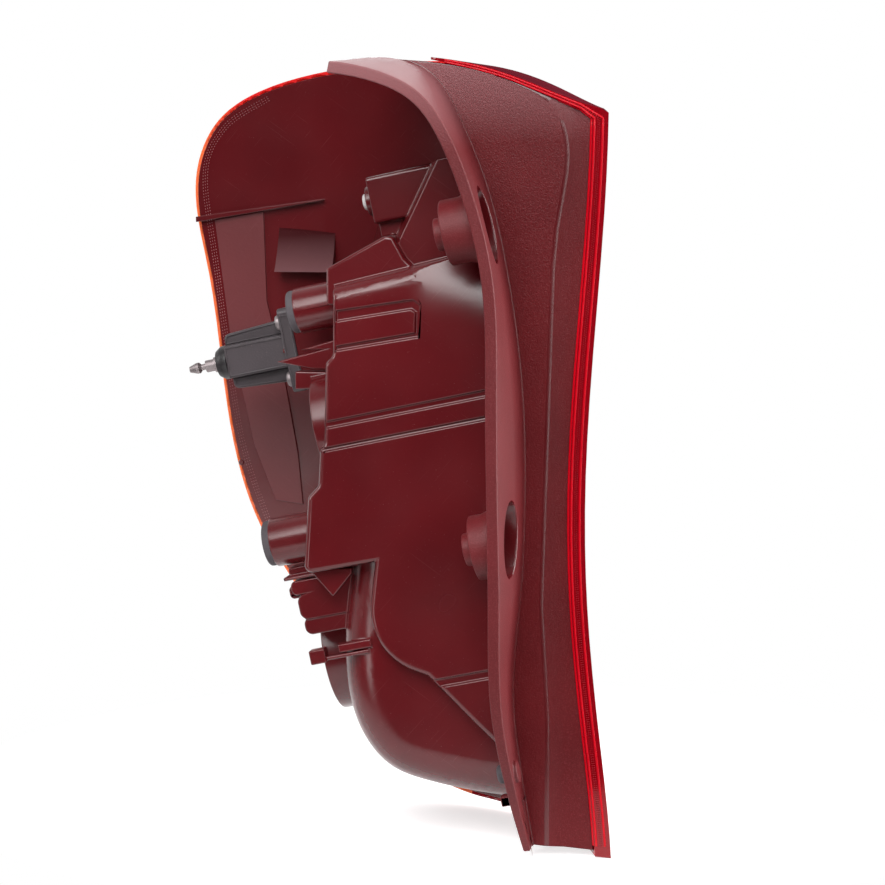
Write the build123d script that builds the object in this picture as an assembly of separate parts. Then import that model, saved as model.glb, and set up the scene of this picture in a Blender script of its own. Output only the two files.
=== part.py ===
from build123d import *
import math
import os

# Tail lamp cluster, right rear corner, millimetres.
# +X rearward, +Y outboard, +Z up. The origin is the centre of the locating stud.

# Fixing direction: every screw, stud and bulb lies along it
RAKE = 12.0
AXIS = Vector(math.cos(math.radians(RAKE)), 0, math.sin(math.radians(RAKE)))

# Main walls and clearances
WALL = 2.5
LENS_WALL = 2.2
LENS_RIM = 8.0
WELD_GAP = 0.1
FIT = 0.15
REACH = 300.0

# Inboard wall of the housing, which is also the inboard edge of the lens
FLANK_Y = -75.0

# Outer skin: plan curve from the inboard edge round to the wing, as (forward of rear edge, outboard)
SKIN_PLAN = [(14, -70), (0, 0), (-16, 50), (-40, 95), (-76, 128), (-132, 148), (-275, 158)]
# Levels of the skin as (height, rear edge, share of the plan depth)
SKIN_LEVELS = [
    (-262, 231.0, 0.80), (-165, 222.0, 0.94), (-85, 216.3, 1.0),
    (20, 220.3, 1.0), (100, 226.0, 0.97), (190, 226.0, 0.88),
]

# Side outline of the lamp, from the rear top corner over the wing to the foot
SIDE_OUTLINE = [
    (223, 139), (205, 145), (189, 151.5), (173, 157.4), (156, 162), (129, 165.6), (53, 161), (16, 151),
    (-11, 134), (-25, 105), (-19.8, 50), (-7, -45), (11, -99), (32, -131), (48, -155), (64, -182), (82, -207),
    (106, -227), (150, -241),
]
SIDE_REAR_TOP = (REACH, 98)
SIDE_FOOT = (REACH, -252)
# Lower edge of the lens strip that wraps over the top
TOP_STRIP = [(136, 163.8), (156, 159.5), (173, 154.8), (196, 145.7), (213, 138.8), (220, 135.5), (REACH, 92)]

# Flange that carries the fixing screws, outer face at its lip and at its foot
FLANGE_DEPTH = 50.0
FLANGE_LIP_WALL = 6.0
FLANGE_FOOT_WALL = 3.0
FLANGE_LIP = [
    (93.5, 162), (118.5, 157), (139.5, 146), (155.2, 123.5), (166.6, 94.2), (175.8, 55),
    (178, 0), (178.5, -60), (179.5, -115), (180, -163), (184, -195), (192, -242),
]
FLANGE_FOOT = [
    (95, 164), (114, 165), (134, 158.5), (151, 133.5), (164, 101.8), (175, 57),
    (183.5, -5), (185, -60), (182.5, -113), (178.8, -163), (182, -197), (189.5, -242),
]
TAPER_START = -105.0
TAPER_MIDDLE = (8.0, -172.0)
TAPER_END = -246.0
FLANGE_END = 9.0
TOP_WALL_FRONT = 95.0

# Crest along the inboard wall, behind which the wall falls away towards the lens
CREST = [
    (150, 168), (177.6, 152), (200, 138), (206, 119), (202, 86), (198, 36), (196, -50),
    (193.5, -112), (197, -172), (197, -230), (197, -260),
]
CREST_FALL = 3.0
CREST_SLOPE = 8.5

# Chamber: flank outline on the inboard side, from its front top down to the foot
FLANK_FRONT = [
    (84, 90), (84, 12), (80, 8), (79.5, -34), (77, -37), (76, -56), (70.5, -62), (68, -103), (106, -95.5),
]
FLANK_SWEEP = [(106, -95.5), (100.5, -144), (134, -154.5)]
FLANK_SWEEP_R = 34.0
FLANK_FOOT = [(134, -154.5), (158, -178), (186, -204), (REACH, -232), (REACH, 90), (84, 90)]
FLANK_CORNER = 4.0
FLANK_EDGE = 3.0
LEDGE_START = 26.5
LEDGE_RISE = 14.0
LEDGE_PITCH = 4.0
SHOULDER = 9.0

# Slope that takes the shoulder's corner away beside the flange
SLOPE_POINT = Vector(132, FLANK_Y, 50.4)
SLOPE_NORMAL = Vector(0.088, -0.932, 0.35).normalized()
SLOPE_END = 173.0

# Upper chamber behind the shoulder, closed in front by a leaning wall and topped below the roof
UPPER_BACK = 12.0
UPPER_FOOT = 20.0
UPPER_FRONT = 84.0
UPPER_TOP = Vector(127.4, -38.9, 109)
UPPER_TOP_NORMAL = Vector(-0.21, 0.09, 0.974).normalized()
LEAN_POINT = Vector(119, -50, 84)
LEAN_NORMAL = Vector(-0.865, -0.28, 0.415).normalized()

# Round lower body that the flank panel stands proud of
BULGE_BACK = 9.0
BULGE_ROUND = 22.0
BULGE = [
    (90, -80), (86, -120), (86, -165), (94, -191), (111, -209.5), (128, -215.5), (168, -222), (REACH, -240),
]

# Grooves and the framed panel on the flank
GROOVES = [((66, -27.2), 112.0, 3.4, 1.5), ((66, -40), 112.0, 1.6, 1.1), ((128, -160.6), 50.0, 4.2, 1.5)]
FRAME_POCKET = [(86, 35.3), (126.5, 41.4), (130.3, 38.6), (129.6, 22.3), (86, 14.6)]
FRAME_PANEL = [(86, 29.8), (125.5, 36.5), (127.8, 34.9), (127.6, 24.3), (86, 16.9)]
FRAME_DEPTH = 1.7

# Wedge on the ledge and box boss on the leaning wall
WEDGE = [(79.2, 38), (79.2, 56.8), (110, 73.8), (114.5, 73.2), (120.5, 62.5), (128, 55), (130, 38)]
WEDGE_Y = (-67.0, -25.0)
WEDGE_EDGE = 1.8
BOX_END = Vector(99.0, -37.0, 91.4)
BOX_LENGTH = 62.0
BOX_Y = 26.0
BOX_Z = 24.5
BOX_EDGE = 2.0
BOX_FOOT = (4.0, -14.0, 12.0)
BOX_COLLAR_R = 8.0
BOX_COLLAR = 3.5
WHITE_PAD_R = 4.4
WHITE_PAD = 2.4

# Screw bosses and their wells
SCREW_POINTS = {"upper": Vector(168.3, -100.0, 80.7), "lower": Vector(180.1, -100.0, -79.4)}
SCREW_DEPTH = {"upper": 20.5, "lower": 17.5}
BOSS_R = 16.7
BOSS_WALL = 2.6
SEAT_WALL = 4.0
WELL_Y = 26.0
WELL_Z = 40.0
WELL_FLARE = 11.0
NUB_R = 8.5
NUB_LENGTH = 5.0
SLEEVE_R = 5.0
SCREW_BORE_R = 3.25

# Rubber buffers on round posts: end point, radius and length of each post
POSTS = {
    "upper": (Vector(59.3, -45.0, 33.1), 12.2, 36.0),
    "lower": (Vector(45.7, -45.0, -90.5), 13.0, 34.0),
    "foot": (Vector(178.5, -96.0, -199.6), 5.7, 7.0),
}
PAD_THICK = 4.0
PAD_INSET = 0.9
PAD_DOME = 1.6
SPIGOT_R = 2.2
SPIGOT = 4.0

# Bulb stations: centre of the collar's back face, collar radius and collar length
STATIONS = {
    "stop": (Vector(73.0, -43.0, -28.0), 28.0, 22.0),
    "reverse": (Vector(61.0, 12.0, -90.0), 24.0, 22.0),
    "indicator": (Vector(68.5, 4.0, -158.5), 30.0, 28.0),
}
COLLAR_WALL = 4.5
COLLAR_RECESS = 12.0
COLLAR_FLOOR = 3.0
NECK_R = 13.5
NECK_LENGTH = 12.0
LUG_REACH = 2.4
LUG_WIDTH = 6.0
LUG_THICK = 2.5
LUGS = 3
HOLDER_R = 18.5
HOLDER_DISC = 4.0
GRIP_LENGTH = 5.5
GRIP_Y = 4.0
GRIP_Z = 30.0
GRIP_EDGE = 1.0
BLADE_Y = 0.8
BLADE_Z = 6.3
BLADE_SPACING = 16.0
BLADE_LENGTH = 6.0
SEAL_THICK = 1.0
BULB_BASE_R = 7.5
BULB_BASE = 16.0
BULB_SINK = 12.0
BULB_GLASS_R = 11.5
BULB_SHOULDER = 6.0
BOWL_NECK_R = 18.5
BOWL_NECK = 14.0
BOWL_MOUTH_R = 27.0
BOWL_DEPTH = 38.0
BOWL_WALL = 1.5

# Lens windows as (outboard range, height range)
WINDOWS = {"reverse": ((-50.0, 40.0), (-86.0, -30.0)), "indicator": ((-50.0, 30.0), (-166.0, -96.0))}
WINDOW_CORNER = 8.0

# Locating stud and its bracket, as distances along the fixing direction
STUD_NOSE = -12.0
STUD_NOSE_R = 1.6
STUD_BALL_R = 3.0
STUD_NECK_R = 1.7
STUD_NECK = -5.2
STUD_LAND_R = 3.3
STUD_LAND = 5.0
STUD_SHOULDER_R = 4.2
STUD_SHOULDER = 2.0
STUD_SHANK_R = 2.5
STUD_SHANK = 24.0
NUT_TIP_R = 7.0
NUT_R = 9.2
NUT = 6.5
BRACKET_BODY = 34.5
BRACKET_CORE = 17.5
BRACKET_RIB_FRONT = 15.0
BRACKET_RIB_BACK = 17.2
BRACKET_RIB_WALL = 4.0
BRACKET_PLATE = 7.0
BRACKET_PLATE_Y = 28.0
BRACKET_PLATE_Z = 46.0
BRACKET_CORNER = 3.0
BRACKET_SCREW_Y = -8.5
BRACKET_SCREW_Z = 15.5
BRACKET_SCREW_R = 2.0
BRACKET_HEAD_R = 4.2
BRACKET_HEAD = 2.6
BRACKET_SCREW_LENGTH = 16.0
PEG_R = 1.4
PEG_Y = -11.0
BLOCK_LENGTH = 46.0
BLOCK_WALL = 3.0
BLOCK_FACE = 12.0

# Fins, connector shroud, clip, foot tab and wing ribs, moulded on the housing
FINS = [
    [(61.3, 13), (88, 21), (88, 13.5)], [(48.3, 6.4), (88, 17.5), (88, 3), (68, 3)],
    [(58.6, 1.5), (88, 1.5), (88, -6.5), (58.6, -8)],
]
FIN_Y = (-50.0, -38.0)
SHROUD = [
    ((54.1, -106.3), 40.0, 16.0, 5.0, 1.5), ((52.4, -109.4), 42.0, 26.0, 1.8, 0.5),
    ((54.2, -117.4), 38.0, 14.0, 7.0, 2.5), ((56.2, -114.4), 38.0, 24.0, 7.6, 3.0),
    ((60.4, -124.4), 34.0, 24.0, 13.8, 4.5), ((63.4, -134.6), 31.0, 22.0, 9.5, 4.0),
]
SHROUD_Y = -40.0
GUSSET = [(69.7, -102), (92, -100), (92, -103), (82, -115.5)]
GUSSET_Y = (-66.0, -60.0)
CLIP = [((85, -143.0), 18.0, 8.0, 4.4), ((74, -149.4), 28.0, 7.0, 2.0), ((69.5, -148.6), 8.6, 8.0, 7.6)]
CLIP_Y = -63.0
TAB = ((175.5, -215.5), 10.0, 7.0, 5.6)
TAB_Y = -89.0
TAB_WINDOW = 2.6
WING_RIB = [(-24.5, 76.5), (50, 89.2), (50, 89.7), (-24.5, 79.5)]
WING_RIB_RISE = 4.0
WING_RAMP = [(REACH, 49), (54, 49), (67, 76), (REACH, 76)]
WING_RAMP_X = (23.0, 56.0)
WING_PAD = [
    (-14, 77.6), (14.5, 82.6), (15.5, 32), (24, -5), (33, -55), (36, -84), (20, -82), (7, -50), (-6, 10),
]
WING_PAD_RISE = 1.2

LIP_Y = FLANK_Y - FLANGE_DEPTH
BRACKET_START = STUD_LAND / 2 + STUD_SHOULDER + NUT
PLATE_START = BRACKET_START + BRACKET_BODY
BLOCK_START = PLATE_START + BRACKET_PLATE


def at_depth(points, y):
    """Points of an outline drawn on the X-Z plane, set at one depth."""
    return [Vector(x, y, z) for x, z in points]


def prism(face, y_from, y_to):
    """Solid of an X-Z outline between two depths."""
    return extrude(Pos(0, y_from, 0) * face, amount=y_to - y_from, dir=(0, 1, 0))


def polygon(points):
    """Face of a straight-sided X-Z outline."""
    return Face(Wire(Polyline(*at_depth(points, 0), close=True).edges()))


def shifted(points, distance):
    """Points moved sideways from the line they follow, to the right of its direction."""
    moved = []
    for i, (a, b) in enumerate(points):
        before = points[max(i - 1, 0)]
        after = points[min(i + 1, len(points) - 1)]
        run = math.hypot(after[0] - before[0], after[1] - before[1])
        across = ((after[1] - before[1]) / run, (before[0] - after[0]) / run)
        moved.append((a + distance * across[0], b + distance * across[1]))
    return moved


def along(start, radius, length, end_radius=None):
    """Round bar or cone along the fixing direction, from its forward end."""
    place = Plane(origin=start, z_dir=AXIS, x_dir=(0, 1, 0))
    shape = Cylinder(radius, length, align=(Align.CENTER, Align.CENTER, Align.MIN))
    if end_radius is not None:
        shape = Cone(radius, end_radius, length, align=(Align.CENTER, Align.CENTER, Align.MIN))
    return place * shape


def raked_box(start, length, y_size, z_size):
    """Box along the fixing direction, from the middle of its forward end."""
    place = Plane(origin=start, z_dir=AXIS, x_dir=(0, 1, 0))
    return place * Box(y_size, z_size, length, align=(Align.CENTER, Align.CENTER, Align.MIN))


def skin_side(depth):
    """Everything on the inner side of the outer skin, set in by a depth."""
    sections = []
    for height, rear, share in SKIN_LEVELS:
        plan = [(rear + x, FLANK_Y + y * share) for x, y in SKIN_PLAN]
        curve = [Vector(x, y, height) for x, y in shifted(plan, -depth)]
        corner_front = Vector(-REACH, curve[-1].Y, height)
        corner_near = Vector(-REACH, curve[0].Y - 100, height)
        corner_rear = Vector(curve[0].X, curve[0].Y - 100, height)
        sections.append(Wire([
            Spline(*curve), Line(curve[-1], corner_front), Line(corner_front, corner_near),
            Line(corner_near, corner_rear), Line(corner_rear, curve[0]),
        ]))
    return Solid.make_loft(sections)


def side_face(inset):
    """Side outline of the lamp, set in from its edge."""
    top, *points, foot = at_depth(shifted([SIDE_REAR_TOP, *SIDE_OUTLINE, SIDE_FOOT], -inset), 0)
    return Face(Wire([Line(top, points[0]), Spline(*points), Line(points[-1], foot), Line(foot, top)]))


def top_strip(gap):
    """Everything above the lower edge of the lens strip over the top."""
    points = at_depth([(x, z - gap) for x, z in TOP_STRIP], 0)
    high = [Vector(REACH, 0, REACH), Vector(points[0].X, 0, REACH)]
    edges = [Spline(*points), Polyline(points[-1], *high, points[0])]
    return prism(Face(Wire(edges[0].edges() + edges[1].edges())), -REACH, REACH)


def ribbon(points, wall, y):
    """Flat strip between a curve and the same curve set in by a wall."""
    outer = at_depth(points, y)
    inner = at_depth(shifted(points, wall), y)
    return Wire([Spline(*outer), Line(outer[-1], inner[-1]), Spline(*inner[::-1]), Line(inner[0], outer[0])])


def on_axis(distance, y=0.0, z=0.0):
    """Point along the stud's line, moved outboard and up across it."""
    up = Vector(-math.sin(math.radians(RAKE)), 0, math.cos(math.radians(RAKE)))
    return AXIS * distance + Vector(0, y, 0) + up * z


def oval(point, y_radius, z_radius):
    """Ellipse across the fixing direction."""
    return Plane(origin=point, z_dir=AXIS, x_dir=(0, 1, 0)) * Ellipse(y_radius, z_radius)


def soften(solid, radius):
    """Round the edges of a block that run along the fixing direction."""
    return fillet(solid.edges().filter_by(lambda e: abs(e.tangent_at(0).dot(AXIS)) > 0.99), radius)


def lamp_body():
    """Side outline inside the lens edge and below the lens strip over the top."""
    return prism(side_face(LENS_WALL + WELD_GAP), -REACH, REACH) - top_strip(WELD_GAP)


def lens_shell():
    """Whole outer lens: skin, edge skirts and the strip over the top."""
    outer = prism(side_face(0), FLANK_Y, REACH) & skin_side(0)
    cavity = prism(side_face(LENS_WALL), FLANK_Y + LENS_WALL, REACH) & skin_side(LENS_WALL)
    return outer - cavity - (skin_side(LENS_RIM - WELD_GAP) - top_strip(0))


def window_block(name, gap):
    """Block that cuts one window out of the rear of the lens."""
    (y_low, y_high), (z_low, z_high) = WINDOWS[name]
    size = (REACH, y_high - y_low - 2 * gap, z_high - z_low - 2 * gap)
    block = Pos(REACH, (y_low + y_high) / 2, (z_low + z_high) / 2) * Box(*size)
    return fillet(block.edges().filter_by(Axis.X), WINDOW_CORNER - gap)


def build_lens():
    shell = lens_shell()
    pieces = {}
    red = shell
    for name in WINDOWS:
        pieces[f"lens_{name}_window"] = shell & window_block(name, WELD_GAP)
        red = red - window_block(name, 0)
    pieces["outer_lens"] = red
    return pieces


def flank_face(inset):
    """Outline of the flank panel."""
    front = FilletPolyline(*at_depth(FLANK_FRONT, 0), radius=FLANK_CORNER)
    sweep = FilletPolyline(*at_depth(FLANK_SWEEP, 0), radius=FLANK_SWEEP_R)
    foot = Polyline(*at_depth(FLANK_FOOT, 0))
    face = Face(Wire(front.edges() + sweep.edges() + foot.edges()))
    if inset:
        face = Face(face.outer_wire().offset_2d(-inset))
    return face


def below_ledge(inset):
    """Everything under the shouldered ledge, which rises rearward."""
    side = FLANK_Y + inset
    top = LEDGE_START - inset
    far = top + math.tan(math.radians(LEDGE_PITCH)) * (REACH - side)
    corner = FilletPolyline((0, side, -REACH), (0, side, top), (0, REACH, far), radius=SHOULDER - inset)
    close = Polyline((0, REACH, far), (0, REACH, -REACH), (0, side, -REACH))
    face = Face(Wire(corner.edges() + close.edges()))
    rise = math.radians(LEDGE_RISE)
    return extrude(face, amount=2 * REACH, dir=(math.cos(rise), 0, math.sin(rise)))


def beneath(point, normal, inset):
    """Everything under a slanted plane."""
    block = Box(4 * REACH, 4 * REACH, 4 * REACH, align=(Align.CENTER, Align.CENTER, Align.MAX))
    return Plane(origin=point - normal * inset, z_dir=normal) * block


def sloped_shoulder(inset):
    """Everything outside the slope beside the flange."""
    end = SLOPE_END + inset
    block = Pos(end, 0, 0) * Box(2 * REACH, 2 * REACH, 2 * REACH, align=(Align.MAX, Align.CENTER, Align.CENTER))
    return block - beneath(SLOPE_POINT, SLOPE_NORMAL, inset)


def lower_chamber(inset):
    block = prism(flank_face(inset), FLANK_Y + inset, REACH)
    if not inset:
        front = block.faces().sort_by(Axis.Y)[0]
        seen = [e for e in front.edges() if e.center().X < REACH - 1 and e.center().Z < LEAN_POINT.Z]
        block = fillet(seen, FLANK_EDGE)
    return (block & below_ledge(inset)) - sloped_shoulder(inset)


def upper_chamber(inset):
    front = UPPER_FRONT + inset
    outline = polygon([(front, UPPER_FOOT), (front, REACH), (REACH, REACH), (REACH, UPPER_FOOT)])
    block = prism(outline, FLANK_Y + UPPER_BACK + inset, REACH)
    for point, normal in ((LEAN_POINT, LEAN_NORMAL), (UPPER_TOP, UPPER_TOP_NORMAL)):
        block = block & beneath(point, normal, inset)
    return block


def bulge(inset):
    points = at_depth(shifted(BULGE, -inset), 0)
    close = Polyline(points[-1], (REACH, 0, points[0].Z), points[0])
    face = Face(Wire(Spline(*points).edges() + close.edges()))
    block = prism(face, FLANK_Y + BULGE_BACK + inset, REACH)
    front = block.faces().sort_by(Axis.Y)[0]
    return fillet(front.edges().filter_by(GeomType.LINE, reverse=True), BULGE_ROUND - inset)


def right_of(points, y):
    """Loop round everything rearward of a curve."""
    curve = at_depth(points, y)
    low, high = Vector(REACH, y, -REACH), Vector(REACH, y, REACH)
    near_low, near_high = Vector(curve[-1].X, y, -REACH), Vector(curve[0].X, y, REACH)
    close = Polyline(curve[-1], near_low, low, high, near_high, curve[0])
    return Wire(Spline(*curve).edges() + close.edges())


def left_of(points, y):
    """Loop round everything forward of a curve."""
    curve = at_depth(points, y)
    close = Polyline(curve[-1], (-REACH, y, curve[-1].Z), (-REACH, y, curve[0].Z), curve[0])
    return Wire(Spline(*curve).edges() + close.edges())


def flange():
    """Screw flange, lofted from its lip to its foot and cut back towards its lower end."""
    lip = ribbon(FLANGE_LIP, FLANGE_LIP_WALL, LIP_Y)
    foot = ribbon(FLANGE_FOOT, FLANGE_FOOT_WALL, FLANK_Y + WALL)
    start = Vector(0, LIP_Y, TAPER_START)
    middle = Vector(0, LIP_Y + TAPER_MIDDLE[0], TAPER_MIDDLE[1])
    end = Vector(0, FLANK_Y - FLANGE_END, TAPER_END)
    away = LIP_Y - FLANGE_DEPTH
    close = Polyline(end, (0, away, TAPER_END), (0, away, TAPER_START), start)
    cut = Face(Wire(Spline(start, middle, end).edges() + close.edges()))
    return Solid.make_loft([lip, foot]) - extrude(cut, amount=REACH, dir=(1, 0, 0))


def screw_boss(name):
    """Boss behind one access hole, with a nub for its sleeve."""
    point, depth = SCREW_POINTS[name], SCREW_DEPTH[name]
    mouth = oval(point + AXIS * WELL_FLARE, WELL_Y / 2 + BOSS_WALL, WELL_Z / 2 + BOSS_WALL)
    throat = oval(point - AXIS * WELL_FLARE, BOSS_R, BOSS_R)
    inside = Solid.make_loft([left_of(FLANGE_LIP, LIP_Y), left_of(FLANGE_FOOT, FLANK_Y + WALL)])
    boss = loft([throat, mouth]) + along(point - AXIS * depth, BOSS_R, depth - WELL_FLARE)
    return (boss & inside) + along(point - AXIS * (depth + NUB_LENGTH), NUB_R, NUB_LENGTH + SEAT_WALL / 2)


def screw_well(name):
    """Oblong access well, round at its seat, with the sleeve's bore."""
    point, depth = SCREW_POINTS[name], SCREW_DEPTH[name]
    bore = BOSS_R - BOSS_WALL
    mouth = oval(point, WELL_Y / 2, WELL_Z / 2)
    throat = oval(point - AXIS * WELL_FLARE, bore, bore)
    seat = depth - SEAT_WALL
    well = extrude(mouth, amount=2 * WELL_FLARE, dir=AXIS) + loft([throat, mouth])
    well = well + along(point - AXIS * seat, bore, seat - WELL_FLARE)
    return well + along(point - AXIS * (depth + NUB_LENGTH), SLEEVE_R + FIT, SEAT_WALL + NUB_LENGTH)


def build_sleeve(name):
    point, depth = SCREW_POINTS[name], SCREW_DEPTH[name]
    start = point - AXIS * (depth + NUB_LENGTH)
    length = SEAT_WALL + NUB_LENGTH
    return along(start, SLEEVE_R, length) - along(start, SCREW_BORE_R, length)


def build_buffer(name):
    end, radius, _ = POSTS[name]
    disc = along(end - AXIS * PAD_THICK, radius - PAD_INSET, PAD_THICK)
    rim = disc.edges().sort_by(Axis.X)[0]
    return fillet(rim, PAD_DOME) + along(end, SPIGOT_R, SPIGOT)


def build_white_pad():
    end = BOX_END - AXIS * BOX_COLLAR
    disc = along(end - AXIS * WHITE_PAD, WHITE_PAD_R, WHITE_PAD)
    return fillet(disc.edges().sort_by(Axis.X)[0], PAD_DOME) + along(end, SPIGOT_R, SPIGOT)


def collar(name):
    start, radius, length = STATIONS[name]
    return along(start, radius, length)


def collar_cuts(name):
    """Recess, keyed neck hole and bore of one bulb collar."""
    start, radius, length = STATIONS[name]
    inner = radius - COLLAR_WALL
    cuts = along(start, inner, COLLAR_RECESS)
    cuts = cuts + along(start + AXIS * COLLAR_RECESS, NECK_R + FIT, COLLAR_FLOOR)
    keys = lug_ring(start + AXIS * COLLAR_RECESS, COLLAR_FLOOR, FIT, 180 / LUGS)
    return cuts + keys + along(start + AXIS * (COLLAR_RECESS + COLLAR_FLOOR), inner, length)


def lug_ring(start, thick, clearance, turn):
    """Bayonet lugs, or the keyways that let them through."""
    place = Plane(origin=start, z_dir=AXIS, x_dir=(0, 1, 0))
    reach = 2 * (NECK_R + LUG_REACH + clearance)
    lug = Box(reach / 2, LUG_WIDTH + 2 * clearance, thick, align=(Align.MIN, Align.CENTER, Align.MIN))
    ring = Part()
    for i in range(LUGS):
        ring += place * Rot(0, 0, turn + 360 / LUGS * i) * lug
    return ring & along(start, reach / 2, thick)


def build_holder(name):
    start, _, _ = STATIONS[name]
    face = start + AXIS * (COLLAR_RECESS - SEAL_THICK)
    back = face - AXIS * HOLDER_DISC
    neck_end = face + AXIS * (SEAL_THICK + COLLAR_FLOOR + NECK_LENGTH)
    lugs = lug_ring(start + AXIS * (COLLAR_RECESS + COLLAR_FLOOR + FIT), LUG_THICK, 0, 0)
    holder = along(back, HOLDER_R, HOLDER_DISC)
    holder = holder + along(face, NECK_R, (neck_end - face).length) + lugs
    grip = raked_box(back - AXIS * GRIP_LENGTH, GRIP_LENGTH + GRIP_EDGE, GRIP_Y, GRIP_Z)
    return holder + soften(grip, GRIP_EDGE) - along(neck_end - AXIS * BULB_SINK, BULB_BASE_R + FIT, BULB_SINK)


def build_terminals(name):
    start, _, _ = STATIONS[name]
    back = start + AXIS * (COLLAR_RECESS - SEAL_THICK - HOLDER_DISC)
    blades = Part()
    for side in (-1, 1):
        foot = back - AXIS * BLADE_LENGTH + Vector(0, side * BLADE_SPACING / 2, 0)
        blades += raked_box(foot, BLADE_LENGTH, BLADE_Y, BLADE_Z)
    return blades


def build_seal(name):
    start, _, _ = STATIONS[name]
    face = start + AXIS * (COLLAR_RECESS - SEAL_THICK)
    return along(face, HOLDER_R, SEAL_THICK) - along(face, NECK_R + FIT, SEAL_THICK)


def build_bulb(name):
    start, _, _ = STATIONS[name]
    base = start + AXIS * (COLLAR_RECESS + COLLAR_FLOOR + NECK_LENGTH - BULB_SINK)
    glass = base + AXIS * (BULB_BASE + BULB_SHOULDER + BULB_GLASS_R / 2)
    bulb = along(base, BULB_BASE_R, BULB_BASE)
    bulb = bulb + along(base + AXIS * BULB_BASE, BULB_BASE_R, BULB_SHOULDER, BULB_GLASS_R * 0.8)
    return bulb + Pos(*glass) * Sphere(BULB_GLASS_R)


def build_bowl(name):
    """Metallised bowl, seated on the floor of its collar."""
    start, _, _ = STATIONS[name]
    foot = start + AXIS * (COLLAR_RECESS + COLLAR_FLOOR)
    wall = BOWL_WALL
    neck, mouth = (BOWL_NECK_R, BOWL_NECK), (BOWL_MOUTH_R, BOWL_DEPTH)
    outer = Spline((neck[0], 0, neck[1]), (mouth[0], 0, mouth[1]), tangents=[(0.9, 0, 0.45), (0.25, 0, 0.97)])
    inner = Spline((mouth[0] - wall, 0, mouth[1]), (neck[0] - wall, 0, neck[1] + wall),
                   tangents=[(-0.25, 0, -0.97), (-0.9, 0, -0.45)])
    rim = Line((mouth[0], 0, mouth[1]), (mouth[0] - wall, 0, mouth[1]))
    inside, foot_ring = neck[0] - wall, neck[0]
    tube = Polyline((inside, 0, neck[1] + wall), (inside, 0, 0), (foot_ring, 0, 0), (foot_ring, 0, neck[1]))
    loop = Wire(outer.edges() + rim.edges() + inner.edges() + tube.edges())
    return Plane(origin=foot, z_dir=AXIS, x_dir=(0, 1, 0)) * revolve(Face(loop), axis=Axis.Z)


def build_stud():
    half = STUD_LAND / 2
    ball_end = STUD_NECK - (STUD_BALL_R - STUD_NECK_R)
    ball_start = ball_end - STUD_BALL_R / 2
    stud = along(on_axis(STUD_NOSE), STUD_NOSE_R, ball_start - STUD_NOSE, STUD_BALL_R)
    stud = stud + along(on_axis(ball_start), STUD_BALL_R, ball_end - ball_start)
    stud = stud + along(on_axis(ball_end), STUD_BALL_R, STUD_NECK - ball_end, STUD_NECK_R)
    stud = stud + along(on_axis(STUD_NECK), STUD_NECK_R, -half - STUD_NECK)
    stud = stud + along(on_axis(-half), STUD_LAND_R, STUD_LAND)
    stud = stud + along(on_axis(half), STUD_SHOULDER_R, STUD_SHOULDER)
    return stud + along(on_axis(half + STUD_SHOULDER), STUD_SHANK_R, STUD_SHANK)


def build_collar_nut():
    start = on_axis(STUD_LAND / 2 + STUD_SHOULDER)
    nut = along(start, NUT_TIP_R, NUT / 2, NUT_R) + along(start + AXIS * (NUT / 2), NUT_R, NUT / 2)
    return nut - along(start, STUD_SHANK_R + FIT, NUT)


def bracket_screw_places():
    return [(BRACKET_SCREW_Y, side * BRACKET_SCREW_Z) for side in (1, -1)]


def build_bracket():
    core = raked_box(on_axis(BRACKET_START), BRACKET_BODY, BRACKET_CORE, BRACKET_CORE)
    side = -BRACKET_RIB_WALL / 2
    ends = [(BRACKET_START, BRACKET_RIB_FRONT), (PLATE_START, BRACKET_RIB_BACK)]
    top = [on_axis(distance, side, height) for distance, height in ends]
    bottom = [on_axis(distance, side, -height) for distance, height in ends]
    loop = Polyline(*top, *bottom[::-1], close=True)
    ribs = extrude(Face(Wire(loop.edges())), amount=BRACKET_RIB_WALL, dir=(0, 1, 0))
    ribs = fillet(ribs.edges().filter_by(Axis.Y).sort_by(Axis.X)[:2], BRACKET_CORNER)
    plate = raked_box(on_axis(PLATE_START), BRACKET_PLATE, BRACKET_PLATE_Y, BRACKET_PLATE_Z)
    plate = soften(plate, BRACKET_CORNER)
    bracket = core + ribs + plate
    hollow = BRACKET_CORE - 2 * WALL
    shank = STUD_SHANK - NUT
    pocket = BRACKET_BODY + BRACKET_PLATE - shank - WALL
    bracket = bracket - raked_box(on_axis(BLOCK_START - pocket), pocket, hollow, hollow)
    bracket = bracket - along(on_axis(BRACKET_START), STUD_SHANK_R + FIT, shank)
    for y, z in bracket_screw_places():
        bracket = bracket - along(on_axis(PLATE_START, y, z), BRACKET_SCREW_R + FIT, BRACKET_PLATE)
    return bracket - along(on_axis(PLATE_START, PEG_Y), PEG_R + FIT, BRACKET_PLATE)


def build_bracket_screws():
    screws = Part()
    for y, z in bracket_screw_places():
        head = along(on_axis(PLATE_START - BRACKET_HEAD, y, z), BRACKET_HEAD_R, BRACKET_HEAD)
        head = fillet(head.edges().sort_by(Axis.X)[0], BRACKET_HEAD / 2)
        screws += head + along(on_axis(PLATE_START, y, z), BRACKET_SCREW_R, BRACKET_SCREW_LENGTH)
    return screws


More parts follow.
